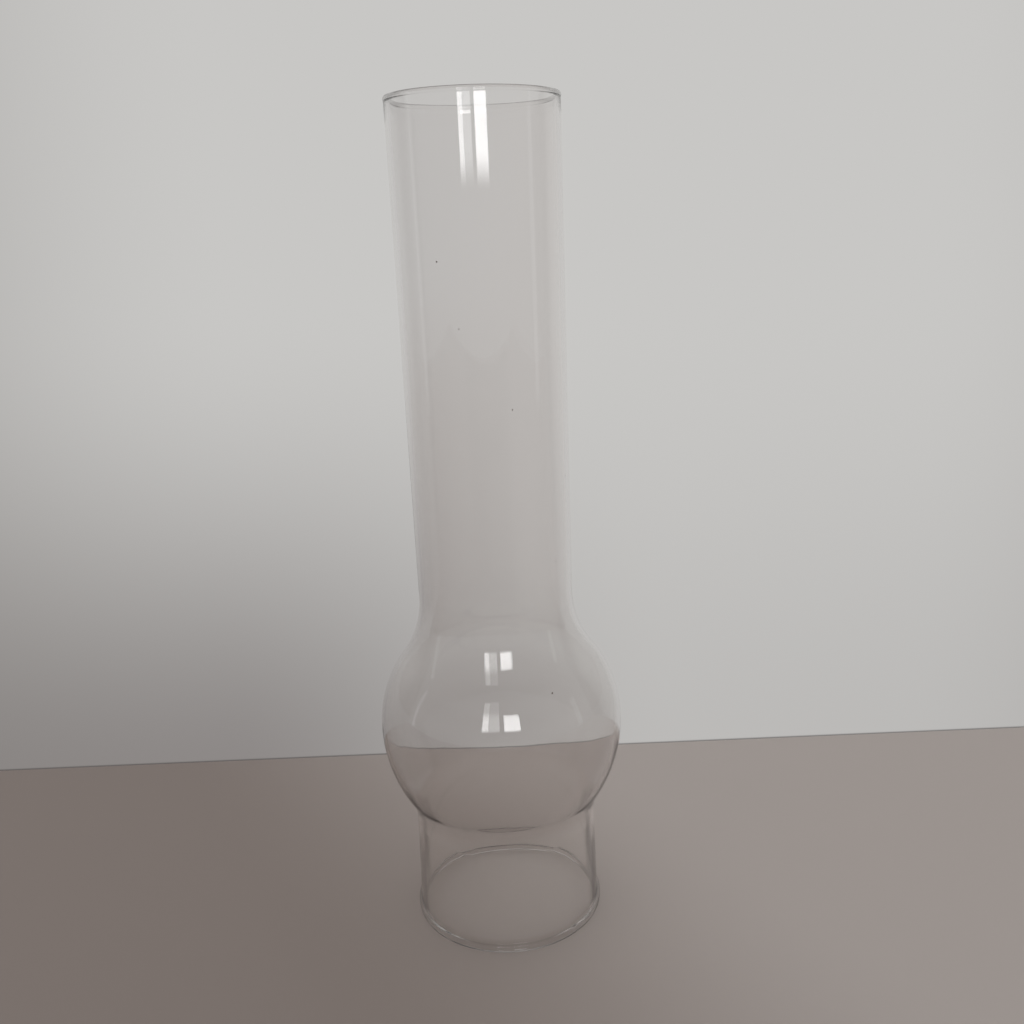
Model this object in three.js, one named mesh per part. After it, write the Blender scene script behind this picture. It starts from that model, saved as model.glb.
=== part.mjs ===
// Clear glass chimney for an oil lamp: a short fitter that stands in the lamp's gallery, a blown
// bulb round the flame and a tall stack for the draught. It is one piece, open at both ends.
// Millimetres, +Z up, origin on the axis at the foot, which stands on Z = 0.
import * as THREE from "three";

// Stack
const height = 300;
const topRadius = 28.8;
const neckRadius = 28.1;
const stackWall = 1.7;

// Fire-polished lip at the top of the stack
const lipProud = 0.2;
const lipFillet = 1.2;

// Bulb, blown fuller above its widest ring than below it
const bulbRadius = 45.3;
const upperArc = 43.2;
const lowerArc = 53.2;
const shoulderArc = 40;
const bulbWall = 1.5;

// Fitter, a little wider towards the foot, and the soft hollow where the bulb rises out of it
const fitterRadius = 34.4;
const fitterFlare = 0.5;
const fitterHeight = 38.9;
const fitterWall = 1.8;
const creaseArc = 24;

// Turned-out foot: a low band with a round shoulder outside, and a wall that leans outwards inside,
// down to a narrow ground ring
const footHeight = 3.1;
const footProud = 1.1;
const footShoulder = 1;
const footFillet = 0.4;
const heelHeight = 3.5;
const heelOut = 1.3;
const heelArc = 2.8;
const footInnerRound = 0.6;
const groundRing = 0.7;

// Facets
const turns = 64;
const bulbSteps = 8;
const shoulderSteps = 7;
const creaseSteps = 5;
const beadSteps = 5;
const filletSteps = 3;

const up = Math.PI / 2;
const inward = Math.PI;

// How far apart along the axis two circles that touch have their centres, from the sum of their
// radii and the distance between the centres across the axis.
function centreDrop(sumOfRadii, across) {
  return Math.sqrt(sumOfRadii ** 2 - across ** 2);
}

// The direction from one centre to another, as an angle in the half section.
function bearing(from, to) {
  return Math.atan2(to.y - from.y, to.x - from.x);
}

// How far the straight line that touches two circles on the same side leans outwards, from the
// difference of their radii.
function lean(from, to, difference) {
  return bearing(from, to) + Math.asin(difference / from.distanceTo(to)) - up;
}

// Stations along an arc of the half section: x is the radius from the axis and y the height. Each
// keeps the direction out of the glass, which on a hollow arc points at the arc's centre.
function arc(centre, radius, start, end, steps, hollow = false) {
  const stations = [];
  for (let i = 0; i <= steps; i++) {
    const angle = start + ((end - start) * i) / steps;
    const spoke = new THREE.Vector2(Math.cos(angle), Math.sin(angle));
    stations.push({
      point: centre.clone().addScaledVector(spoke, radius),
      outwards: hollow ? spoke.negate() : spoke,
    });
  }
  return stations;
}

// Arcs that touch share a point, so each later arc gives up its first station.
function chain(...arcs) {
  return arcs.flatMap((stations, i) => (i === 0 ? stations : stations.slice(1)));
}

// Bulb, with the crease under it and the shoulder above it, from the fitter up to the stack
const creaseCentre = new THREE.Vector2(fitterRadius + creaseArc, fitterHeight);
const lowerCentre = new THREE.Vector2(bulbRadius - lowerArc, 0);
lowerCentre.y =
  creaseCentre.y + centreDrop(lowerArc + creaseArc, creaseCentre.x - lowerCentre.x);
const upperCentre = new THREE.Vector2(bulbRadius - upperArc, lowerCentre.y);
const shoulderCentre = new THREE.Vector2(neckRadius + shoulderArc, 0);
shoulderCentre.y =
  upperCentre.y + centreDrop(upperArc + shoulderArc, shoulderCentre.x - upperCentre.x);

const blownWall = chain(
  arc(creaseCentre, creaseArc, inward, bearing(creaseCentre, lowerCentre), creaseSteps, true),
  arc(lowerCentre, lowerArc, bearing(lowerCentre, creaseCentre), 0, bulbSteps),
  arc(upperCentre, upperArc, 0, bearing(upperCentre, shoulderCentre), bulbSteps),
  arc(
    shoulderCentre,
    shoulderArc,
    bearing(shoulderCentre, upperCentre) + 2 * Math.PI,
    inward,
    shoulderSteps,
    true,
  ),
);

// The glass thins evenly from each straight wall to the widest ring of the bulb.
function wallAt(station) {
  const above = station.point.y > upperCentre.y;
  const straightRadius = above ? Math.max(topRadius, neckRadius) : fitterRadius;
  const straightWall = above ? stackWall : fitterWall;
  const swell = (station.point.x - straightRadius) / (bulbRadius - straightRadius);
  return THREE.MathUtils.lerp(straightWall, bulbWall, Math.max(swell, 0));
}

// Foot outside: a round above the ground ring, the band's upright face, its shoulder and a hollow
// that leads into the fitter
const footRadius = fitterRadius + fitterFlare;
const footRound = fitterWall + footProud - heelOut - groundRing;
const footRoundCentre = new THREE.Vector2(footRadius + footProud - footRound, footRound);
const footShoulderCentre = new THREE.Vector2(
  footRadius + footProud - footShoulder,
  footHeight - footShoulder,
);
const footFilletCentre = new THREE.Vector2(footRadius + footFillet, 0);
footFilletCentre.y =
  footShoulderCentre.y +
  centreDrop(footShoulder + footFillet, footFilletCentre.x - footShoulderCentre.x);
const footBand = chain(
  arc(
    footShoulderCentre,
    footShoulder,
    0,
    bearing(footShoulderCentre, footFilletCentre),
    beadSteps,
  ),
  arc(
    footFilletCentre,
    footFillet,
    bearing(footFilletCentre, footShoulderCentre) + 2 * Math.PI,
    inward,
    filletSteps,
    true,
  ),
);
const footOutside = [...arc(footRoundCentre, footRound, -up, 0, filletSteps), ...footBand];

// Foot inside: the wall bends outwards, runs straight and ends in a small round
const footInsideRadius = footRadius - fitterWall;
const heelCentre = new THREE.Vector2(footInsideRadius + heelArc, heelHeight);
const innerRoundCentre = new THREE.Vector2(footInsideRadius + heelOut, footInnerRound);
const heelLean = inward + lean(innerRoundCentre, heelCentre, heelArc - footInnerRound);
const footInside = [
  ...arc(heelCentre, heelArc, inward, heelLean, filletSteps),
  ...arc(innerRoundCentre, footInnerRound, heelLean, inward + up, filletSteps),
];

// Lip: a round bead a little thicker than the wall, with a small fillet on each side
const lipBeadRadius = stackWall / 2 + lipProud;
const lipCentre = new THREE.Vector2(topRadius - stackWall / 2, height - lipBeadRadius);
const filletAcross = stackWall / 2 + lipFillet;
const filletLevel = lipCentre.y - centreDrop(lipFillet + lipBeadRadius, filletAcross);
const outerFilletCentre = new THREE.Vector2(lipCentre.x + filletAcross, filletLevel);
const innerFilletCentre = new THREE.Vector2(lipCentre.x - filletAcross, filletLevel);
const lip = chain(
  arc(outerFilletCentre, lipFillet, inward, bearing(outerFilletCentre, lipCentre), filletSteps, true),
  arc(
    lipCentre,
    lipBeadRadius,
    bearing(lipCentre, outerFilletCentre),
    bearing(lipCentre, innerFilletCentre) + 2 * Math.PI,
    2 * beadSteps,
  ),
  arc(innerFilletCentre, lipFillet, bearing(innerFilletCentre, lipCentre), 0, filletSteps, true),
);

// The closed half section: up the outside, over the lip, down the inside and back along the foot
const outside = [...footOutside, ...blownWall, ...lip].map((station) => station.point);
const inside = [...blownWall]
  .reverse()
  .map((station) => station.point.clone().addScaledVector(station.outwards, -wallAt(station)));
const section = [...outside, ...inside, ...footInside.map((station) => station.point)];
section.push(section[0].clone());

const glass = new THREE.MeshStandardMaterial({
  color: 0xe9eeea,
  roughness: 0.03,
  metalness: 0,
  transparent: true,
  opacity: 0.25,
});

const chimney = new THREE.Mesh(new THREE.LatheGeometry(section, turns), glass);
chimney.name = "lamp_chimney";
chimney.rotation.x = up;

const part = new THREE.Group();
part.add(chimney);

export default part;
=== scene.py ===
"""Clear blown-glass chimney for an oil lamp, standing by itself on a plain floor.

The glass is one closed wall: a short fitter on a turned-out foot, a soft crease, a bulb, a shoulder
and a tall stack with a fire-polished lip. Metres, +Z up, origin on the axis at the foot.
"""

import math

import bpy
from mathutils import Matrix, Vector


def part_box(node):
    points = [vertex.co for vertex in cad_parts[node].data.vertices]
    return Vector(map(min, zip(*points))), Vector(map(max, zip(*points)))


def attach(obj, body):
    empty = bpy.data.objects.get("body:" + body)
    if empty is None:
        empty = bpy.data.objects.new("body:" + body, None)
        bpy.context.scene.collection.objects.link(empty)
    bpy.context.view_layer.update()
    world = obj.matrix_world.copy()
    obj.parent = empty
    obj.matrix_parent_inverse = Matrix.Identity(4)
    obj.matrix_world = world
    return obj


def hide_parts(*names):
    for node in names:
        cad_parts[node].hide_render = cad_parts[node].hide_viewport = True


bl_info = {
    "name": "Oil Lamp Chimney",
    "version": (1, 0, 0),
    "blender": (4, 5, 0),
    "location": "View3D > Sidebar > Lamp Chimney",
    "description": "Makes a blown-glass lamp chimney and the plain stage it stands on",
    "category": "Object",
}

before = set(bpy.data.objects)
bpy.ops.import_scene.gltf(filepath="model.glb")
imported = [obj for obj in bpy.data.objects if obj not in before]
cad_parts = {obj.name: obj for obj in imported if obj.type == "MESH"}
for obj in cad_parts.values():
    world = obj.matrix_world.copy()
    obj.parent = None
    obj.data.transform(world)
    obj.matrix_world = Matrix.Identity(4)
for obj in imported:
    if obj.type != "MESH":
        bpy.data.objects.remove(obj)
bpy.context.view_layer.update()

NODE = "lamp_chimney"
BODY = "root"

MM = 0.001
UP = math.pi / 2
INWARD = math.pi
FULL_TURN = 2 * math.pi
WHITE = (1.0, 1.0, 1.0)
BLACK = (0.0, 0.0, 0.0)

LOW_CORNER, HIGH_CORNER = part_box(NODE)
GLASS_HEIGHT = HIGH_CORNER.z - LOW_CORNER.z
WIDEST_RADIUS = (HIGH_CORNER.x - LOW_CORNER.x) / 2


# Settings that a user would change

def length(name, description, value):
    return bpy.props.FloatProperty(
        name=name, description=description, default=value, min=0, subtype="DISTANCE", unit="LENGTH"
    )


def share(name, description, value):
    return bpy.props.FloatProperty(
        name=name, description=description, default=value, min=0, max=1, subtype="FACTOR"
    )


def level(name, description, value, lowest=0.0):
    return bpy.props.FloatProperty(name=name, description=description, default=value, min=lowest)


def turn(name, description, degrees):
    return bpy.props.FloatProperty(
        name=name, description=description, default=math.radians(degrees), subtype="ANGLE"
    )


def count(name, description, value):
    return bpy.props.IntProperty(name=name, description=description, default=value, min=1)


def colour(name, description, value):
    return bpy.props.FloatVectorProperty(
        name=name, description=description, default=value, min=0, max=1, size=3, subtype="COLOR"
    )


def srgb(red, green, blue):
    """A linear colour from display levels between 0 and 255."""
    return tuple(linear(shown / 255) for shown in (red, green, blue))


def linear(shown):
    """The standard curve from a display level between 0 and 1 to a linear one."""
    if shown <= 0.04045:
        return shown / 12.92
    return ((shown + 0.055) / 1.055) ** 2.4


class ChimneySizes(bpy.types.PropertyGroup):
    """Sizes of the glass, the same as the solid's"""

    height: length("Height", "From the ground ring to the lip", GLASS_HEIGHT)
    top_radius: length("Top radius", "Outside of the stack under the lip", 28.8 * MM)
    neck_radius: length("Neck radius", "Outside of the stack above the shoulder", 28.1 * MM)
    stack_wall: length("Stack wall", "Thickness of the stack", 1.7 * MM)
    lip_proud: length("Lip proud", "How far the lip stands out of the wall, each side", 0.2 * MM)
    lip_fillet: length("Lip fillet", "Radius of the hollow under the lip", 1.2 * MM)
    bulb_radius: length("Bulb radius", "Widest ring of the bulb", WIDEST_RADIUS)
    upper_arc: length("Upper arc", "Arc of the bulb above its widest ring", 43.2 * MM)
    lower_arc: length("Lower arc", "Arc of the bulb below its widest ring", 53.2 * MM)
    shoulder_arc: length("Shoulder arc", "Hollow arc from the bulb into the stack", 40 * MM)
    bulb_wall: length("Bulb wall", "Thickness at the widest ring", 1.5 * MM)
    fitter_radius: length("Fitter radius", "Outside of the fitter under the crease", 34.4 * MM)
    fitter_flare: length("Fitter flare", "How much wider the fitter is above the foot", 0.5 * MM)
    fitter_height: length("Fitter height", "From the ground ring to the crease", 38.9 * MM)
    fitter_wall: length("Fitter wall", "Thickness of the fitter", 1.8 * MM)
    crease_arc: length("Crease arc", "Hollow arc where the bulb leaves the fitter", 24 * MM)
    foot_height: length("Foot height", "Top of the band round the foot", 3.1 * MM)
    foot_proud: length("Foot proud", "How far the foot stands out of the fitter", 1.1 * MM)
    foot_shoulder: length("Foot shoulder", "Round along the top of the foot's band", 1 * MM)
    foot_fillet: length("Foot fillet", "Hollow above the foot's band", 0.4 * MM)
    heel_height: length("Heel height", "Where the inside starts to lean outwards", 3.5 * MM)
    heel_out: length("Heel out", "How far the inside leans out at the ground ring", 1.3 * MM)
    heel_arc: length("Heel arc", "Arc of the bend inside", 2.8 * MM)
    foot_inner_round: length("Foot inner round", "Round inside the ground ring", 0.6 * MM)
    ground_ring: length("Ground ring", "Width of the flat that the glass stands on", 0.7 * MM)


class GlassMaking(bpy.types.PropertyGroup):
    """What drawing and blowing by hand leave in the glass"""

    turns: count("Turns", "Facets round the axis", 320)
    wave_depth: length("Wave depth", "How deep the drawing waves are", 0.05 * MM)
    wave_width: length("Wave width", "How wide a drawing wave is", 12 * MM)
    wave_stretch: share("Wave stretch", "Width of a wave as a share of its height", 0.08)
    lip_slope: turn("Lip slope", "How far the lip is out of level", 0.6)
    seed: count("Seed", "Which waves and which sizes of speck are drawn", 7)
    grain_radius: length("Grain radius", "Radius of the largest speck", 0.27 * MM)


class GlassFinish(bpy.types.PropertyGroup):
    """What the glass lets through, where shade and light are painted on it, how it bends light and
    how polished it is
    """

    tint: colour("Tint", "What the wall of the fitter lets through", (1.0, 0.995, 0.99))
    # Painted shade: the foot, the bulb (most of all low down) and the stack (most of all on its -X
    # side) are darker than the fitter
    foot_shade_tint: colour("Foot", "The same in the foot", (0.9, 0.888, 0.88))
    bulb_low_shade: colour("Bulb low", "The same low in the bulb", (0.885, 0.866, 0.858))
    bulb_high_shade: colour("Bulb high", "The same high in the bulb", (0.943, 0.931, 0.926))
    stack_left_shade: colour("Stack left", "The same in the stack on the -X side", (0.932, 0.916, 0.912))
    stack_top_shade: colour("Stack top", "The same there near the lip", (0.964, 0.957, 0.957))
    stack_right_shade: colour("Stack right", "The same on the +X side", (0.994, 0.982, 0.978))
    body_tint: colour("Body tint", "What the glass inside the wall lets through", (0.3, 0.24, 0.2))
    density: level("Density", "How soon the glass takes light up, per metre", 11.0)
    ior: level("IOR", "Index of refraction of soda-lime glass", 1.52, lowest=1.0)
    polish: share("Polish", "Roughness of the fire-polished face", 0.0)
    fog: share("Fog", "Roughness where the glass is a little dull", 0.03)
    # Painted shade along the fitter's edges, darker on the +X side, and round the lip
    painted_edge_left: share("Edge left", "How dark the fitter's edge is on the -X side", 0.7)
    painted_edge_right: share("Edge right", "How dark the fitter's edge is on the +X side", 0.92)
    painted_edge_lip: share("Edge lip", "How dark the lip's edges are", 0.55)


class StageLook(bpy.types.PropertyGroup):
    """Floor, background, surroundings and light"""

    floor_tint: colour("Floor", "Colour of the floor", srgb(169, 160, 155))
    # Painted shade: the floor darkens towards this colour at the front left
    floor_painted_shade: colour("Floor dusk", "Colour of the floor low on the left", srgb(132, 121, 115))
    floor_back: length("Floor back", "How far behind the axis the floor ends", 118 * MM)
    floor_reach: length("Floor reach", "How far the floor goes to the sides and the front", 1600 * MM)
    back_tint: colour("Background", "Colour of the background", srgb(200, 199, 197))
    back_height: length("Background height", "How high the background reaches", 450 * MM)
    joint_height: length("Joint", "Height of the dark joint along the floor", 1.2 * MM)
    # Painted shade on the background: it darkens towards this colour low down, most on the left
    painted_shade_tint: colour("Dusk", "Colour that the background fades towards", srgb(48, 10, 5))
    room_tint: colour("Room", "What the glass mirrors at eye level", srgb(170, 168, 166))
    low_room_tint: colour("Low room", "What it mirrors below eye level", srgb(125, 112, 107))
    ceiling_tint: colour("Ceiling", "What it mirrors above eye level", srgb(150, 148, 146))
    # Sides: the background also darkens towards this colour to the sides, painted shade that the
    # glass mirrors too
    side_tint: colour("Sides", "What it mirrors at the sides", srgb(132, 128, 125))
    unlit_tint: colour("Unlit", "What lies overhead and over the background", srgb(70, 67, 65))
    # How far the painted shade on the background reaches, low on the left and on the right
    painted_shade_left: share("Dusk left", "How far the background fades low on the left", 0.57)
    painted_shade_right: share("Dusk right", "How far it fades low on the right", 0.145)
    ambient: share("Ambient", "Strength of the even light", 0.8)
    bounces: count("Bounces", "How often light is followed inside the wall", 32)
    pane_level: level("Pane level", "Radiance of the brightest soft box", 6.5)


class ChimneySettings(bpy.types.PropertyGroup):
    """Everything that the panel shows"""

    sizes: bpy.props.PointerProperty(type=ChimneySizes)
    making: bpy.props.PointerProperty(type=GlassMaking)
    finish: bpy.props.PointerProperty(type=GlassFinish)
    stage: bpy.props.PointerProperty(type=StageLook)


# Node trees, written as Python expressions

class Value:
    """An outlet of a node. Sums on values add the Math nodes that work them out."""

    def __init__(self, trail, socket):
        self.trail = trail
        self.socket = socket

    def __add__(self, other):
        return self.trail.maths("ADD", self, other)

    def __radd__(self, other):
        return self.trail.maths("ADD", other, self)

    def __sub__(self, other):
        return self.trail.maths("SUBTRACT", self, other)

    def __rsub__(self, other):
        return self.trail.maths("SUBTRACT", other, self)

    def __mul__(self, other):
        return self.trail.maths("MULTIPLY", self, other)

    def __rmul__(self, other):
        return self.trail.maths("MULTIPLY", other, self)

    def __truediv__(self, other):
        return self.trail.maths("DIVIDE", self, other)

    def __rtruediv__(self, other):
        return self.trail.maths("DIVIDE", other, self)

    def __neg__(self):
        return self * -1

    def __abs__(self):
        return self.trail.maths("ABSOLUTE", self)

    def tangent(self):
        return self.trail.maths("TANGENT", self)

    def maximum(self, other):
        return self.trail.maths("MAXIMUM", self, other)

    def minimum(self, other):
        return self.trail.maths("MINIMUM", self, other)

    def below(self, other):
        return self.trail.maths("LESS_THAN", self, other)


def open_socket(sockets, name=None):
    """The first socket in use that has this name, or the first one in use."""
    for socket in sockets:
        if socket.enabled and name in (None, socket.name):
            return socket
    raise KeyError(f"no socket in use is named {name}")


class Trail:
    """Adds nodes to a tree and hands back their outlets as values."""

    def __init__(self, tree):
        self.tree = tree

    def add(self, kind, settings=None, row=(), **named):
        """Adds a node: its settings first, then what its inlets take, in a row or by their names."""
        node = self.tree.nodes.new(kind)
        for name, setting in (settings or {}).items():
            setattr(node, name, setting)
        for inlet, value in zip(node.inputs, row):
            self.feed(inlet, value)
        for name, value in named.items():
            self.feed(open_socket(node.inputs, name.replace("_", " ")), value)
        return node

    def feed(self, inlet, value):
        """Links a value to an inlet, or sets a number, a colour or a material on it."""
        if isinstance(value, Value):
            self.tree.links.new(value.socket, inlet)
        elif inlet.type == "RGBA":
            inlet.default_value = (*value, 1.0)
        else:
            inlet.default_value = value

    def node(self, kind, settings=None, outlet=None, row=(), **named):
        """Adds a node and gives its outlet of this name, or the first one in use."""
        node = self.add(kind, settings, row, **named)
        return Value(self, open_socket(node.outputs, outlet))

    def outlets(self, kind, **named):
        """Adds a node and gives all its outlets by their names."""
        node = self.add(kind, **named)
        return {outlet.name: Value(self, outlet) for outlet in node.outputs}

    def maths(self, operation, *numbers):
        return self.node("ShaderNodeMath", {"operation": operation}, row=numbers)

    def axes(self, vector):
        return self.outlets("ShaderNodeSeparateXYZ", Vector=vector).values()

    def vector(self, x=0.0, y=0.0, z=0.0):
        return self.node("ShaderNodeCombineXYZ", X=x, Y=y, Z=z)

    def ramp(self, value, start, end, low=0.0, high=1.0):
        """A smooth step from low at start to high at end."""
        step = {"interpolation_type": "SMOOTHSTEP"}
        return self.node("ShaderNodeMapRange", step, row=(value, start, end, low, high))

    def mix(self, factor, first, second):
        """A colour between two others."""
        colours = {"data_type": "RGBA"}
        return self.node("ShaderNodeMix", colours, Factor=factor, A=first, B=second)

    def mix_shaders(self, factor, first, second):
        return self.node("ShaderNodeMixShader", row=(factor, first, second))


# The half section of the wall: x is the radius from the axis and y the height

# How many stretches each of its arcs and straight walls is drawn with
BULB_STEPS = 24
SHOULDER_STEPS = 18
CREASE_STEPS = 12
BEAD_STEPS = 8
FILLET_STEPS = 5
FOOT_STEPS = 3
STACK_STEPS = 24
FITTER_STEPS = 10


class Station:
    """A point of the section and the direction out of the glass there."""

    def __init__(self, point, outwards):
        self.point = point
        self.outwards = outwards


def centre_drop(distance, across):
    """How far apart in height the centres of two touching arcs are."""
    return math.sqrt(distance**2 - across**2)


def bearing(start, end):
    return math.atan2(end.y - start.y, end.x - start.x)


def lean(start, end, difference):
    """How far the line that touches two circles on the same side leans outwards."""
    return bearing(start, end) + math.asin(difference / (end - start).length) - UP


def arc(centre, radius, start, end, steps, hollow=False):
    stations = []
    for i in range(steps + 1):
        angle = start + (end - start) * i / steps
        spoke = Vector((math.cos(angle), math.sin(angle)))
        stations.append(Station(centre + spoke * radius, -spoke if hollow else spoke))
    return stations


def straight(first, last, steps):
    """Stations between two others, without them."""
    return [
        Station(first.point.lerp(last.point, i / steps), first.outwards)
        for i in range(1, steps)
    ]


def chain(*arcs):
    """Arcs that touch share a point, so each later arc gives up its first station."""
    return arcs[0] + [station for later in arcs[1:] for station in later[1:]]


def blown_wall(sizes):
    """Crease, bulb and shoulder on the outside, and the wall's thickness at a station."""
    crease = Vector((sizes.fitter_radius + sizes.crease_arc, sizes.fitter_height))
    lower = Vector((sizes.bulb_radius - sizes.lower_arc, 0))
    lower.y = crease.y + centre_drop(sizes.lower_arc + sizes.crease_arc, crease.x - lower.x)
    upper = Vector((sizes.bulb_radius - sizes.upper_arc, lower.y))
    shoulder = Vector((sizes.neck_radius + sizes.shoulder_arc, 0))
    shoulder.y = upper.y + centre_drop(sizes.upper_arc + sizes.shoulder_arc, shoulder.x - upper.x)
    stations = chain(
        arc(crease, sizes.crease_arc, INWARD, bearing(crease, lower), CREASE_STEPS, hollow=True),
        arc(lower, sizes.lower_arc, bearing(lower, crease), 0, BULB_STEPS),
        arc(upper, sizes.upper_arc, 0, bearing(upper, shoulder), BULB_STEPS),
        arc(
            shoulder,
            sizes.shoulder_arc,
            bearing(shoulder, upper) + FULL_TURN,
            INWARD,
            SHOULDER_STEPS,
            hollow=True,
        ),
    )

    def wall_at(station):
        above = station.point.y > upper.y
        straight_radius = max(sizes.top_radius, sizes.neck_radius) if above else sizes.fitter_radius
        straight_wall = sizes.stack_wall if above else sizes.fitter_wall
        swell = (station.point.x - straight_radius) / (sizes.bulb_radius - straight_radius)
        return straight_wall + (sizes.bulb_wall - straight_wall) * max(swell, 0)

    return stations, wall_at


def foot_outside(sizes):
    """A round above the ground ring, the band's upright face, its shoulder and a hollow."""
    radius = sizes.fitter_radius + sizes.fitter_flare
    rim = radius + sizes.foot_proud
    low_radius = sizes.fitter_wall + sizes.foot_proud - sizes.heel_out - sizes.ground_ring
    low = Vector((rim - low_radius, low_radius))
    shoulder = Vector((rim - sizes.foot_shoulder, sizes.foot_height - sizes.foot_shoulder))
    fillet = Vector((radius + sizes.foot_fillet, shoulder.y))
    fillet.y += centre_drop(sizes.foot_shoulder + sizes.foot_fillet, fillet.x - shoulder.x)
    touch = bearing(fillet, shoulder) + FULL_TURN
    low_round = arc(low, low_radius, -UP, 0, BEAD_STEPS)
    band = chain(
        arc(shoulder, sizes.foot_shoulder, 0, bearing(shoulder, fillet), BEAD_STEPS),
        arc(fillet, sizes.foot_fillet, touch, INWARD, FILLET_STEPS, hollow=True),
    )
    return [*low_round, *straight(low_round[-1], band[0], FOOT_STEPS), *band]


def foot_inside(sizes):
    """The wall bends outwards, runs straight and ends in a small round."""
    inside = sizes.fitter_radius + sizes.fitter_flare - sizes.fitter_wall
    heel = Vector((inside + sizes.heel_arc, sizes.heel_height))
    inner = Vector((inside + sizes.heel_out, sizes.foot_inner_round))
    heel_lean = INWARD + lean(inner, heel, sizes.heel_arc - sizes.foot_inner_round)
    bend = arc(heel, sizes.heel_arc, INWARD, heel_lean, FILLET_STEPS)
    inner_round = arc(inner, sizes.foot_inner_round, heel_lean, INWARD + UP, FILLET_STEPS)
    return [*bend, *straight(bend[-1], inner_round[0], FOOT_STEPS), *inner_round]


def lip(sizes):
    """The round bead at the top, with a hollow on each side under it."""
    radius = sizes.stack_wall / 2 + sizes.lip_proud
    centre = Vector((sizes.top_radius - sizes.stack_wall / 2, sizes.height - radius))
    across = sizes.stack_wall / 2 + sizes.lip_fillet
    hollow_height = centre.y - centre_drop(sizes.lip_fillet + radius, across)
    outer = Vector((centre.x + across, hollow_height))
    inner = Vector((centre.x - across, hollow_height))
    return chain(
        arc(outer, sizes.lip_fillet, INWARD, bearing(outer, centre), FILLET_STEPS, hollow=True),
        arc(
            centre,
            radius,
            bearing(centre, outer),
            bearing(centre, inner) + FULL_TURN,
            2 * BEAD_STEPS,
        ),
        arc(inner, sizes.lip_fillet, bearing(inner, centre), 0, FILLET_STEPS, hollow=True),
    )


def half_section(sizes):
    """The closed outline of the wall: up the outside, over the lip and down the inside."""
    wall, wall_at = blown_wall(sizes)
    low_outside = foot_outside(sizes)
    low_inside = foot_inside(sizes)
    top = lip(sizes)
    inside = [Station(s.point - s.outwards * wall_at(s), -s.outwards) for s in reversed(wall)]
    outline = [
        *low_outside,
        *straight(low_outside[-1], wall[0], FITTER_STEPS),
        *wall,
        *straight(wall[-1], top[0], STACK_STEPS),
        *top,
        *straight(top[-1], inside[0], STACK_STEPS),
        *inside,
        *straight(inside[-1], low_inside[0], FITTER_STEPS),
        *low_inside,
    ]
    return [station.point for station in outline]


def wall_radius(sizes, height):
    """The outside radius of the glass at a height above the crease, from its half section."""
    wall, _ = blown_wall(sizes)
    profile = [station.point for station in wall]
    profile.append(Vector((sizes.top_radius, sizes.height)))
    for low, high in zip(profile, profile[1:]):
        if low.y <= height <= high.y:
            return low.lerp(high, (height - low.y) / (high.y - low.y)).x
    raise ValueError("no wall at this height")


# Geometry Nodes

def geometry_tree(name, inlets):
    """An empty tree that takes and gives a geometry, with its named inputs."""
    tree = bpy.data.node_groups.new(name, "GeometryNodeTree")
    sockets = tree.interface
    sockets.new_socket("Geometry", in_out="OUTPUT", socket_type="NodeSocketGeometry")
    sockets.new_socket("Geometry", in_out="INPUT", socket_type="NodeSocketGeometry")
    for label, kind in inlets.items():
        sockets.new_socket(label, in_out="INPUT", socket_type=kind)
    trail = Trail(tree)
    return trail, trail.outlets("NodeGroupInput")


def close_tree(trail, geometry, material):
    """Ends a tree in Realize Instances and Set Material."""
    whole = trail.node("GeometryNodeRealizeInstances", Geometry=geometry)
    dressed = trail.node("GeometryNodeSetMaterial", Geometry=whole, Material=material)
    trail.add("NodeGroupOutput", Geometry=dressed)
    return trail.tree


def run_tree(piece, tree, values):
    """Runs the tree on the piece, turns the result into its plain mesh and removes the modifier."""
    modifier = piece.modifiers.new(tree.name, "NODES")
    modifier.node_group = tree
    for item in tree.interface.items_tree:
        if item.in_out == "INPUT" and item.name in values:
            modifier[item.identifier] = values[item.name]
    graph = bpy.context.evaluated_depsgraph_get()
    graph.update()
    mesh = bpy.data.meshes.new_from_object(piece.evaluated_get(graph), depsgraph=graph)
    piece.modifiers.remove(modifier)
    rough = piece.data
    piece.data = mesh
    mesh.name = piece.name
    bpy.data.meshes.remove(rough)
    bpy.data.node_groups.remove(tree)


# How many finer waves lie on the drawing waves
WAVE_DETAIL = 1.0


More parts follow.
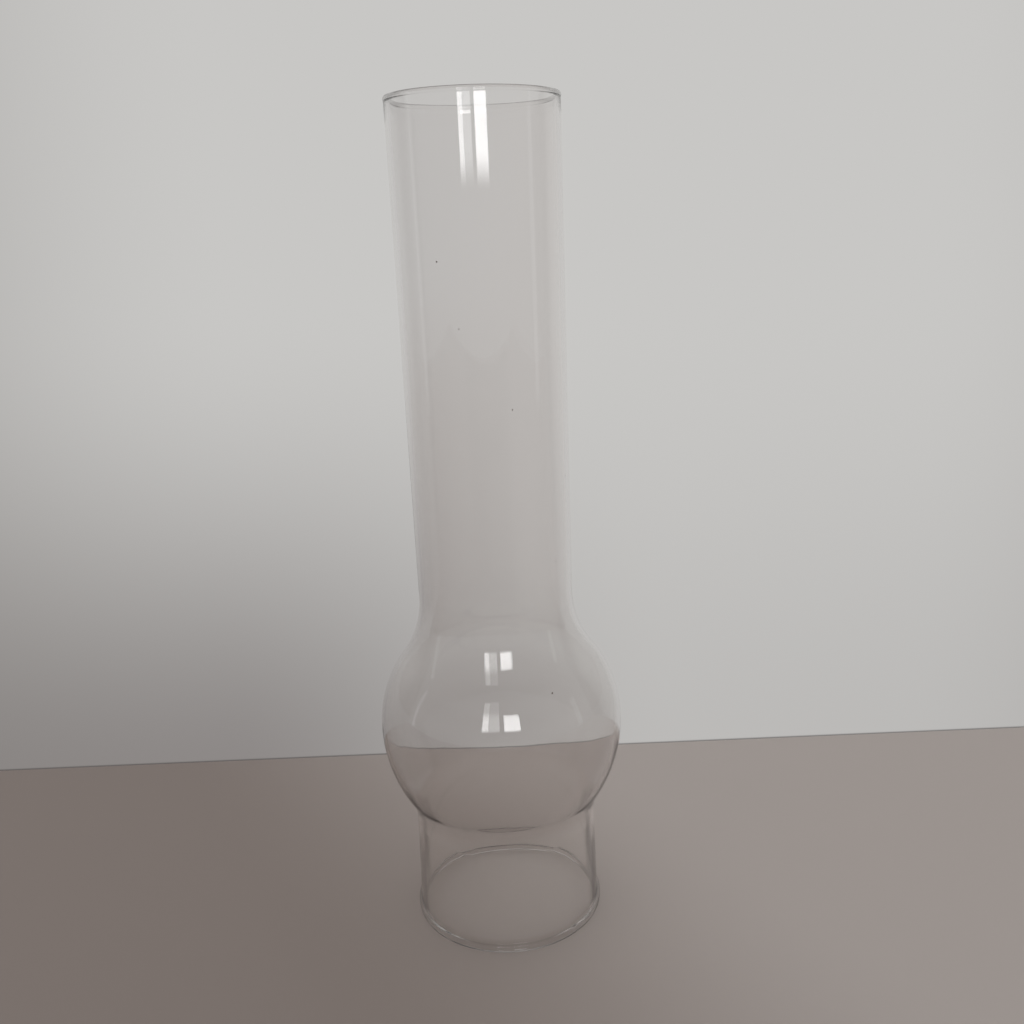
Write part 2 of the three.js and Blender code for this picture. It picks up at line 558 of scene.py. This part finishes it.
def blowing_tree():
    """Turns the half section round the axis and works the hand-made unevenness into it."""
    trail, given = geometry_tree(
        "blown_glass",
        {
            "Turns": "NodeSocketInt",
            "Spindle": "NodeSocketFloat",
            "Wave Depth": "NodeSocketFloat",
            "Wave Width": "NodeSocketFloat",
            "Wave Stretch": "NodeSocketFloat",
            "Lip Slope": "NodeSocketFloat",
            "Slope Start": "NodeSocketFloat",
            "Height": "NodeSocketFloat",
            "Top Radius": "NodeSocketFloat",
            "Seed": "NodeSocketInt",
            "Material": "NodeSocketMaterial",
        },
    )
    section = trail.node("GeometryNodeMeshToCurve", Mesh=given["Geometry"])
    circle = trail.node(
        "GeometryNodeCurvePrimitiveCircle", Resolution=given["Turns"], Radius=given["Spindle"]
    )
    revolved = trail.node("GeometryNodeCurveToMesh", Curve=circle, Profile_Curve=section)

    x, y, z = trail.axes(trail.node("GeometryNodeInputPosition"))
    stretched = trail.vector(x, y, z * given["Wave Stretch"] + given["Seed"])
    wave = trail.node(
        "ShaderNodeTexNoise", Vector=stretched, Scale=1 / given["Wave Width"], Detail=WAVE_DETAIL
    )
    normal = trail.node("GeometryNodeInputNormal")
    dent = trail.node(
        "ShaderNodeVectorMath",
        {"operation": "SCALE"},
        Vector=normal,
        Scale=-wave * given["Wave Depth"],
    )
    waved = trail.node("GeometryNodeSetPosition", Geometry=revolved, Offset=dent)

    near_lip = trail.ramp(z, given["Slope Start"], given["Height"])
    slope = given["Lip Slope"].tangent() * (x + given["Top Radius"]) * near_lip
    sloped = trail.node("GeometryNodeSetPosition", Geometry=waved, Offset=trail.vector(z=-slope))
    smooth = trail.node("GeometryNodeSetShadeSmooth", Geometry=sloped)
    return close_tree(trail, smooth, given["Material"])


# Grains: how finely each is divided, the smallest one's radius as a share of the largest one's,
# and a grain's length and thickness as shares of its width
GRAIN_DETAIL = 2
GRAIN_SMALLEST_SHARE = 0.5
GRAIN_LENGTH_SHARE = 1.3
GRAIN_FLATNESS_SHARE = 0.5


def speck_tree():
    """Lays a small flat grain against the wall at every point, each with its own size."""
    trail, given = geometry_tree(
        "specks",
        {
            "Grain Radius": "NodeSocketFloat",
            "Seed": "NodeSocketInt",
            "Material": "NodeSocketMaterial",
        },
    )
    grain = trail.node(
        "GeometryNodeMeshIcoSphere", Radius=given["Grain Radius"], Subdivisions=GRAIN_DETAIL
    )
    size = trail.node(
        "FunctionNodeRandomValue",
        {"data_type": "FLOAT"},
        Min=GRAIN_SMALLEST_SHARE,
        Max=1.0,
        Seed=given["Seed"],
    )
    x, y, _ = trail.axes(trail.node("GeometryNodeInputPosition"))
    outwards = trail.vector(x, y)
    facing = trail.node("FunctionNodeAlignRotationToVector", {"axis": "Z"}, Vector=outwards)
    grains = trail.node(
        "GeometryNodeInstanceOnPoints",
        Points=given["Geometry"],
        Instance=grain,
        Rotation=facing,
        Scale=trail.vector(size, size * GRAIN_LENGTH_SHARE, size * GRAIN_FLATNESS_SHARE),
    )
    return close_tree(trail, grains, given["Material"])


# Materials

def new_material(name):
    material = bpy.data.materials.new(name)
    material.use_nodes = True
    material.node_tree.nodes.clear()
    return material, Trail(material.node_tree)


# Glass: where its tint and its painted shade change, by height and from left to right
FOOT_FADE = (3 * MM, 4.5 * MM)
CREASE_FADE = 12 * MM
BULB_LIFT = (60 * MM, 95 * MM)
NECK_LIFT = (105 * MM, 135 * MM)
STACK_LIFT = (190 * MM, 255 * MM)
LIP_LIFT = (297.4 * MM, 298 * MM)
GLASS_ACROSS = (-38.9 * MM, 38.9 * MM)

# Glass: how far its faces are turned away where painted light lightens the bulb's sides and painted
# shade darkens the edges
BULB_LIT_SIDES = (0.1, 0.4)
FITTER_EDGE_SHADE = (0.65, 0.78)
LIP_EDGE_SHADE = (0.3, 0.65)

# Glass: the dull patches
PATCH_SCALE = 45.0
PATCH_DETAIL = 3.0
PATCH_EDGE = (0.55, 0.8)


def glass_material(finish, fitter_top):
    """Clear glass with a faint tint, painted shade and light, and dull patches, which casts hardly
    any shadow.
    """
    material, trail = new_material("blown_clear_glass")
    place = trail.node("ShaderNodeTexCoord", outlet="Object")
    facing = trail.node("ShaderNodeLayerWeight", outlet="Facing")
    patches = trail.node("ShaderNodeTexNoise", Vector=place, Scale=PATCH_SCALE, Detail=PATCH_DETAIL)
    # tint carries the wall's faint tint and its painted shade
    tint = wall_tint_and_shade(trail, finish, fitter_top, place, facing)
    glass = trail.node(
        "ShaderNodeBsdfPrincipled",
        Base_Color=trail.mix(painted_edge_shade(trail, finish, fitter_top, place, facing), tint, BLACK),
        Roughness=trail.ramp(patches, *PATCH_EDGE, finish.polish, finish.fog),
        IOR=finish.ior,
        Transmission_Weight=1.0,
    )
    clear = trail.node("ShaderNodeBsdfTransparent")
    is_shadow = trail.node("ShaderNodeLightPath", outlet="Is Shadow Ray")
    inside = trail.node(
        "ShaderNodeVolumeAbsorption", Color=finish.body_tint, Density=finish.density
    )
    surface = trail.mix_shaders(is_shadow, glass, clear)
    trail.add("ShaderNodeOutputMaterial", Surface=surface, Volume=inside)
    return material


def wall_tint_and_shade(trail, finish, fitter_top, place, facing):
    """What each face of the wall lets through: a faint tint with painted shade, darker in the foot,
    low in the bulb and on the stack's -X side, and painted light on the bulb's sides.
    """
    x, _, z = trail.axes(place)
    left = trail.mix(trail.ramp(z, *STACK_LIFT), finish.stack_left_shade, finish.stack_top_shade)
    stack = trail.mix(trail.ramp(x, *GLASS_ACROSS), left, finish.stack_right_shade)
    # Painted light: the bulb's sides, where its faces are seen edge-on, are lighter than its middle
    high_bulb_lit_sides = trail.mix(trail.ramp(facing, *BULB_LIT_SIDES), finish.bulb_high_shade, finish.tint)
    bulb = trail.mix(trail.ramp(z, *BULB_LIFT), finish.bulb_low_shade, high_bulb_lit_sides)
    blown = trail.mix(trail.ramp(z, *NECK_LIFT), bulb, stack)
    wall = trail.mix(trail.ramp(z, fitter_top, fitter_top + CREASE_FADE), finish.tint, blown)
    return trail.mix(trail.ramp(z, *FOOT_FADE), finish.foot_shade_tint, wall)


def painted_edge_shade(trail, finish, fitter_top, place, facing):
    """Painted shade: how dark the glass is where the fitter and the lip are seen edge-on."""
    x, _, z = trail.axes(place)
    low = trail.ramp(z, fitter_top, fitter_top - CREASE_FADE)
    side = trail.ramp(x, *GLASS_ACROSS, finish.painted_edge_left, finish.painted_edge_right)
    fitter_edge_shade = trail.ramp(facing, *FITTER_EDGE_SHADE) * low * side
    lip_edge_shade = trail.ramp(facing, *LIP_EDGE_SHADE, 0.0, finish.painted_edge_lip) * trail.ramp(z, *LIP_LIFT)
    return fitter_edge_shade.maximum(lip_edge_shade)


# Specks: their mottled browns
SPECK_SCALE = 900.0
SPECK_DETAIL = 2.0
SPECK_DARK = srgb(58, 44, 36)
SPECK_BROWN = srgb(92, 70, 54)
SPECK_ROUGHNESS = 0.6


def speck_material():
    """Grains of ash and clay caught in the glass: dark brown and dull."""
    material, trail = new_material("brown_specks")
    place = trail.node("ShaderNodeTexCoord", outlet="Object")
    patches = trail.node("ShaderNodeTexNoise", Vector=place, Scale=SPECK_SCALE, Detail=SPECK_DETAIL)
    tint = trail.mix(patches, SPECK_DARK, SPECK_BROWN)
    surface = trail.node("ShaderNodeBsdfPrincipled", Base_Color=tint, Roughness=SPECK_ROUGHNESS)
    trail.add("ShaderNodeOutputMaterial", Surface=surface)
    return material


# Floor: its painted shade fades from the front left to the back right, with a faint painted glow
# under the glass
FLOOR_SLANT = 0.6
FLOOR_SHADE_FADE = (-100 * MM, 110 * MM)
PAINTED_GLOW_REACH = (22 * MM, 38 * MM)
PAINTED_GLOW_DEPTH = 0.035
FLOOR_ROUGHNESS = 0.9


def floor_material(stage):
    """Plain and matt, with painted shade that makes it a little darker at the front left and painted
    light under the glass.
    """
    material, trail = new_material("plain_floor")
    place = trail.node("ShaderNodeTexCoord", outlet="Object")
    x, y, _ = trail.axes(place)
    lit = trail.ramp(x + FLOOR_SLANT * y, *FLOOR_SHADE_FADE)
    tint = trail.mix(lit, stage.floor_painted_shade, stage.floor_tint)
    radius = trail.node("ShaderNodeVectorMath", {"operation": "LENGTH"}, Vector=place)
    # Painted light: the floor is a little lighter under the glass
    tint = trail.mix(trail.ramp(radius, *PAINTED_GLOW_REACH, PAINTED_GLOW_DEPTH, 0.0), tint, WHITE)
    surface = trail.node("ShaderNodeBsdfPrincipled", Base_Color=tint, Roughness=FLOOR_ROUGHNESS)
    trail.add("ShaderNodeOutputMaterial", Surface=surface)
    return material


def first_sight(trail):
    """1 where the camera looks, also through the glass or mirrored in it, and 0 for other light."""
    path = trail.outlets("ShaderNodeLightPath")
    sight = path["Is Camera Ray"].maximum(path["Is Glossy Ray"])
    return sight.maximum(path["Is Transmission Ray"]) * path["Diffuse Depth"].below(1)


# Backdrop: where its painted shade fades in from right to left, downwards, to the sides and, seen in
# the glass, upwards
SHADE_ACROSS = (90 * MM, -145 * MM)
SHADE_DOWN = (230 * MM, -10 * MM)
ASIDE_MIDDLE = 45 * MM
ASIDE = (150 * MM, 520 * MM)
UNLIT_TOP = (365 * MM, 425 * MM)
JOINT_DEPTH = 0.75


def backdrop_material(stage):
    """A pale wall that shows from its front alone, with painted shade low on the left and towards the
    sides, and fades towards a dark joint at its foot.
    """
    material, trail = new_material("pale_backdrop")
    x, _, z = trail.axes(trail.node("ShaderNodeTexCoord", outlet="Object"))
    # Painted shade: the background darkens low down, more on the left than the right, and towards the
    # sides
    painted_shade = trail.ramp(x, *SHADE_ACROSS, stage.painted_shade_right, stage.painted_shade_left)
    tint = trail.mix(painted_shade * trail.ramp(z, *SHADE_DOWN), stage.back_tint, stage.painted_shade_tint)
    aside = trail.ramp(abs(x - ASIDE_MIDDLE), *ASIDE)
    tint = trail.mix(aside, tint, stage.side_tint)
    is_camera = trail.node("ShaderNodeLightPath", outlet="Is Camera Ray")
    unlit = trail.ramp(z, *UNLIT_TOP) * (1 - is_camera)
    tint = trail.mix(unlit, tint, stage.unlit_tint)
    joint = trail.ramp(z, stage.joint_height, 0.0, 0.0, JOINT_DEPTH)
    tint = trail.mix(joint, tint, stage.unlit_tint)
    seen = trail.node("ShaderNodeEmission", Color=tint)
    nothing = trail.node("ShaderNodeBsdfTransparent")
    is_back = trail.node("ShaderNodeNewGeometry", outlet="Backfacing")
    surface = trail.mix_shaders(first_sight(trail) * (1 - is_back), nothing, seen)
    trail.add("ShaderNodeOutputMaterial", Surface=surface)
    material.cycles.emission_sampling = "NONE"
    return material


# Soft boxes: how soon they fade in above their foot, and where and how far they fade higher up
PANE_FADE = 45 * MM
PANE_HIGH = (480 * MM, 700 * MM)
PANE_HIGH_SHARE = 0.3

# Light that has gone through fewer faces than this was mirrored by the near side of the glass
FAR_WALL_FACES = 3


def pane_material(radiance, foot):
    """Light that only shows where the near side of the glass mirrors it."""
    material, trail = new_material("soft_box")
    path = trail.outlets("ShaderNodeLightPath")
    mirrored = path["Glossy Depth"].minimum(1)
    near_side = path["Transmission Depth"].below(FAR_WALL_FACES)
    _, _, z = trail.axes(trail.node("ShaderNodeTexCoord", outlet="Object"))
    above_foot = trail.ramp(z, foot, foot + PANE_FADE)
    upwards = trail.ramp(z, *PANE_HIGH, 1.0, PANE_HIGH_SHARE)
    nothing = trail.node("ShaderNodeBsdfTransparent")
    light = trail.node("ShaderNodeEmission", Strength=radiance)
    surface = trail.mix_shaders(mirrored * near_side * above_foot * upwards, nothing, light)
    trail.add("ShaderNodeOutputMaterial", Surface=surface)
    material.cycles.emission_sampling = "NONE"
    return material


# Operators

def chimney_settings(context):
    return context.scene.lamp_chimney


def new_mesh_piece(name, points, edges=(), faces=()):
    mesh = bpy.data.meshes.new(name)
    mesh.from_pydata([tuple(point) for point in points], edges, faces)
    piece = bpy.data.objects.new(name, mesh)
    bpy.context.scene.collection.objects.link(piece)
    return piece


# Radius of the ring that the section is turned on: it is drawn that much nearer to the axis and
# upside down, as Curve to Mesh expects it
SPINDLE = 10 * MM

# The slope of the lip starts at this share of the height
SLOPE_START_SHARE = 0.6


class CHIMNEY_OT_glass(bpy.types.Operator):
    """Blows the chimney: one closed wall of glass from the foot to the lip"""

    bl_idname = "chimney.glass"
    bl_label = "Glass"

    def execute(self, context):
        chosen = chimney_settings(context)
        sizes = chosen.sizes
        making = chosen.making
        section = half_section(sizes)
        points = [(point.x - SPINDLE, -point.y, 0) for point in reversed(section)]
        edges = [(i, (i + 1) % len(points)) for i in range(len(points))]
        piece = new_mesh_piece("blown_chimney", points, edges)
        values = {
            "Turns": making.turns,
            "Spindle": SPINDLE,
            "Wave Depth": making.wave_depth,
            "Wave Width": making.wave_width,
            "Wave Stretch": making.wave_stretch,
            "Lip Slope": making.lip_slope,
            "Slope Start": sizes.height * SLOPE_START_SHARE,
            "Height": sizes.height,
            "Top Radius": sizes.top_radius,
            "Seed": making.seed,
            "Material": glass_material(chosen.finish, sizes.fitter_height),
        }
        run_tree(piece, blowing_tree(), values)
        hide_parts(NODE)
        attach(piece, BODY)
        return {"FINISHED"}


# Specks in the glass: degrees round the axis from -Y towards +X, and share of the height
SPECK_TURNS_AND_SHARES = (
    (-27.1, 0.828),
    (18.1, 0.669),
    (68.0, 0.58),
    (-13.7, 0.523),
    (29.2, 0.342),
    (62.4, 0.344),
    (-160.0, 0.74),
    (118.0, 0.45),
    (-98.0, 0.61),
    (143.5, 0.997),
)


class CHIMNEY_OT_specks(bpy.types.Operator):
    """Puts the few dark specks in the glass that blowing by hand leaves"""

    bl_idname = "chimney.specks"
    bl_label = "Specks"

    def execute(self, context):
        chosen = chimney_settings(context)
        sizes = chosen.sizes
        points = []
        for degrees, height_share in SPECK_TURNS_AND_SHARES:
            height = sizes.height * height_share
            round_axis = math.radians(degrees)
            radius = wall_radius(sizes, height)
            points.append((radius * math.sin(round_axis), -radius * math.cos(round_axis), height))
        piece = new_mesh_piece("specks", points)
        values = {
            "Grain Radius": chosen.making.grain_radius,
            "Seed": chosen.making.seed,
            "Material": speck_material(),
        }
        run_tree(piece, speck_tree(), values)
        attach(piece, BODY)
        return {"FINISHED"}


ONE_FACE = [(0, 1, 2, 3)]


def add_floor(stage):
    side = stage.floor_reach
    back = stage.floor_back
    corners = [(-side, -side, 0), (side, -side, 0), (side, back, 0), (-side, back, 0)]
    floor = new_mesh_piece("floor", corners, faces=ONE_FACE)
    floor.data.materials.append(floor_material(stage))


def upright(low_corner, high_corner):
    """The corners of an upright rectangle between two opposite ones."""
    x0, y0, z0 = low_corner
    x1, y1, z1 = high_corner
    return [(x0, y0, z0), (x1, y1, z0), (x1, y1, z1), (x0, y0, z1)]


def add_backdrop(stage):
    side = stage.floor_reach
    back = stage.floor_back
    corners = upright((-side, back, 0), (side, back, stage.back_height))
    backdrop = new_mesh_piece("backdrop", corners, faces=ONE_FACE)
    backdrop.data.materials.append(backdrop_material(stage))


# Soft boxes behind the camera and beside the glass: two opposite corners of each
PANE_BACK = -900 * MM
PANE_FOOT = 280 * MM
STRIP_ASIDE = 900 * MM
STRIP_FOOT = 20 * MM
PANES = {
    "right_pane": ((50 * MM, PANE_BACK, PANE_FOOT), (300 * MM, PANE_BACK, 585 * MM)),
    "left_pane": ((-175 * MM, PANE_BACK, PANE_FOOT), (-20 * MM, PANE_BACK, 880 * MM)),
    "left_bar": ((-285 * MM, PANE_BACK, PANE_FOOT), (-180 * MM, PANE_BACK, 880 * MM)),
    "right_strip": ((STRIP_ASIDE, -220 * MM, STRIP_FOOT), (STRIP_ASIDE, -175 * MM, 420 * MM)),
    "left_strip": ((-STRIP_ASIDE, -60 * MM, STRIP_FOOT), (-STRIP_ASIDE, -25 * MM, 520 * MM)),
}
PANE_LEVEL_SHARES = {
    "right_pane": 1.0,
    "left_pane": 0.35,
    "left_bar": 0.8,
    "right_strip": 0.14,
    "left_strip": 0.14,
}


def add_pane(name, low_corner, high_corner, radiance):
    pane = new_mesh_piece(name, upright(low_corner, high_corner), faces=ONE_FACE)
    pane.data.materials.append(pane_material(radiance, low_corner[2]))


CAMERA_PLACE = Vector((7.29 * MM, -365.1 * MM, 261.9 * MM))
CAMERA_PITCH = math.radians(-15.79)
CAMERA_ROLL = math.radians(-2.43)
CAMERA_LENS = 37.03
CAMERA_SENSOR = 36.0
CAMERA_NEAR = 1 * MM
CAMERA_FAR = 100.0


def add_camera(scene):
    data = bpy.data.cameras.new("camera")
    data.lens = CAMERA_LENS
    data.sensor_width = CAMERA_SENSOR
    data.clip_start = CAMERA_NEAR
    data.clip_end = CAMERA_FAR
    camera = bpy.data.objects.new("camera", data)
    scene.collection.objects.link(camera)
    look = Matrix.Rotation(UP + CAMERA_PITCH, 4, "X")
    roll = Matrix.Rotation(CAMERA_ROLL, 4, "Z")
    camera.matrix_world = Matrix.Translation(CAMERA_PLACE) @ look @ roll
    scene.camera = camera


# Surroundings: where they fade into each other, by the height and depth of a unit direction
EYE_LEVEL = (-0.6, 0.15)
CEILING_LEVEL = (0.1, 0.4)
AHEAD = (0.2, 0.6)
OVERHEAD = (0.5, 0.9)


def add_world(scene, stage):
    """The room that the glass mirrors, and even light on the rest."""
    world = bpy.data.worlds.new("studio")
    scene.world = world
    world.use_nodes = True
    world.node_tree.nodes.clear()
    trail = Trail(world.node_tree)
    _, y, z = trail.axes(trail.node("ShaderNodeTexCoord", outlet="Generated"))
    room = trail.mix(trail.ramp(z, *EYE_LEVEL), stage.low_room_tint, stage.room_tint)
    room = trail.mix(trail.ramp(z, *CEILING_LEVEL), room, stage.ceiling_tint)
    unlit = trail.ramp(y, *AHEAD).maximum(trail.ramp(z, *OVERHEAD))
    seen = trail.node("ShaderNodeBackground", Color=trail.mix(unlit, room, stage.unlit_tint))
    even = trail.node("ShaderNodeBackground", Color=WHITE, Strength=stage.ambient)
    surface = trail.mix_shaders(first_sight(trail), even, seen)
    trail.add("ShaderNodeOutputWorld", Surface=surface)


class CHIMNEY_OT_stage(bpy.types.Operator):
    """Sets up the floor, the background, the soft boxes, the camera and the even light"""

    bl_idname = "chimney.stage"
    bl_label = "Stage"

    def execute(self, context):
        scene = context.scene
        stage = chimney_settings(context).stage
        add_floor(stage)
        add_backdrop(stage)
        for name, (low_corner, high_corner) in PANES.items():
            radiance = PANE_LEVEL_SHARES[name] * stage.pane_level
            add_pane(name, low_corner, high_corner, radiance)
        add_camera(scene)
        add_world(scene, stage)
        scene.cycles.max_bounces = stage.bounces
        scene.cycles.glossy_bounces = stage.bounces
        scene.cycles.transmission_bounces = stage.bounces
        scene.view_settings.view_transform = "Standard"
        return {"FINISHED"}


class CHIMNEY_PT_panel(bpy.types.Panel):
    """Lists the operators and the settings in the sidebar"""

    bl_idname = "CHIMNEY_PT_panel"
    bl_label = "Lamp Chimney"
    bl_space_type = "VIEW_3D"
    bl_region_type = "UI"
    bl_category = "Lamp Chimney"

    def draw(self, context):
        for operator in OPERATORS:
            self.layout.operator(operator.bl_idname)
        chosen = chimney_settings(context)
        for group in (chosen.sizes, chosen.making, chosen.finish, chosen.stage):
            box = self.layout.box()
            for name in group.__annotations__:
                box.prop(group, name)


OPERATORS = (CHIMNEY_OT_stage, CHIMNEY_OT_glass, CHIMNEY_OT_specks)
CLASSES = (
    ChimneySizes,
    GlassMaking,
    GlassFinish,
    StageLook,
    ChimneySettings,
    *OPERATORS,
    CHIMNEY_PT_panel,
)


def register():
    for cls in CLASSES:
        bpy.utils.register_class(cls)
    bpy.types.Scene.lamp_chimney = bpy.props.PointerProperty(type=ChimneySettings)


def unregister():
    del bpy.types.Scene.lamp_chimney
    for cls in reversed(CLASSES):
        bpy.utils.unregister_class(cls)


def main():
    register()
    bpy.ops.chimney.stage()
    bpy.ops.chimney.glass()
    bpy.ops.chimney.specks()


if __name__ == "__main__":
    main()
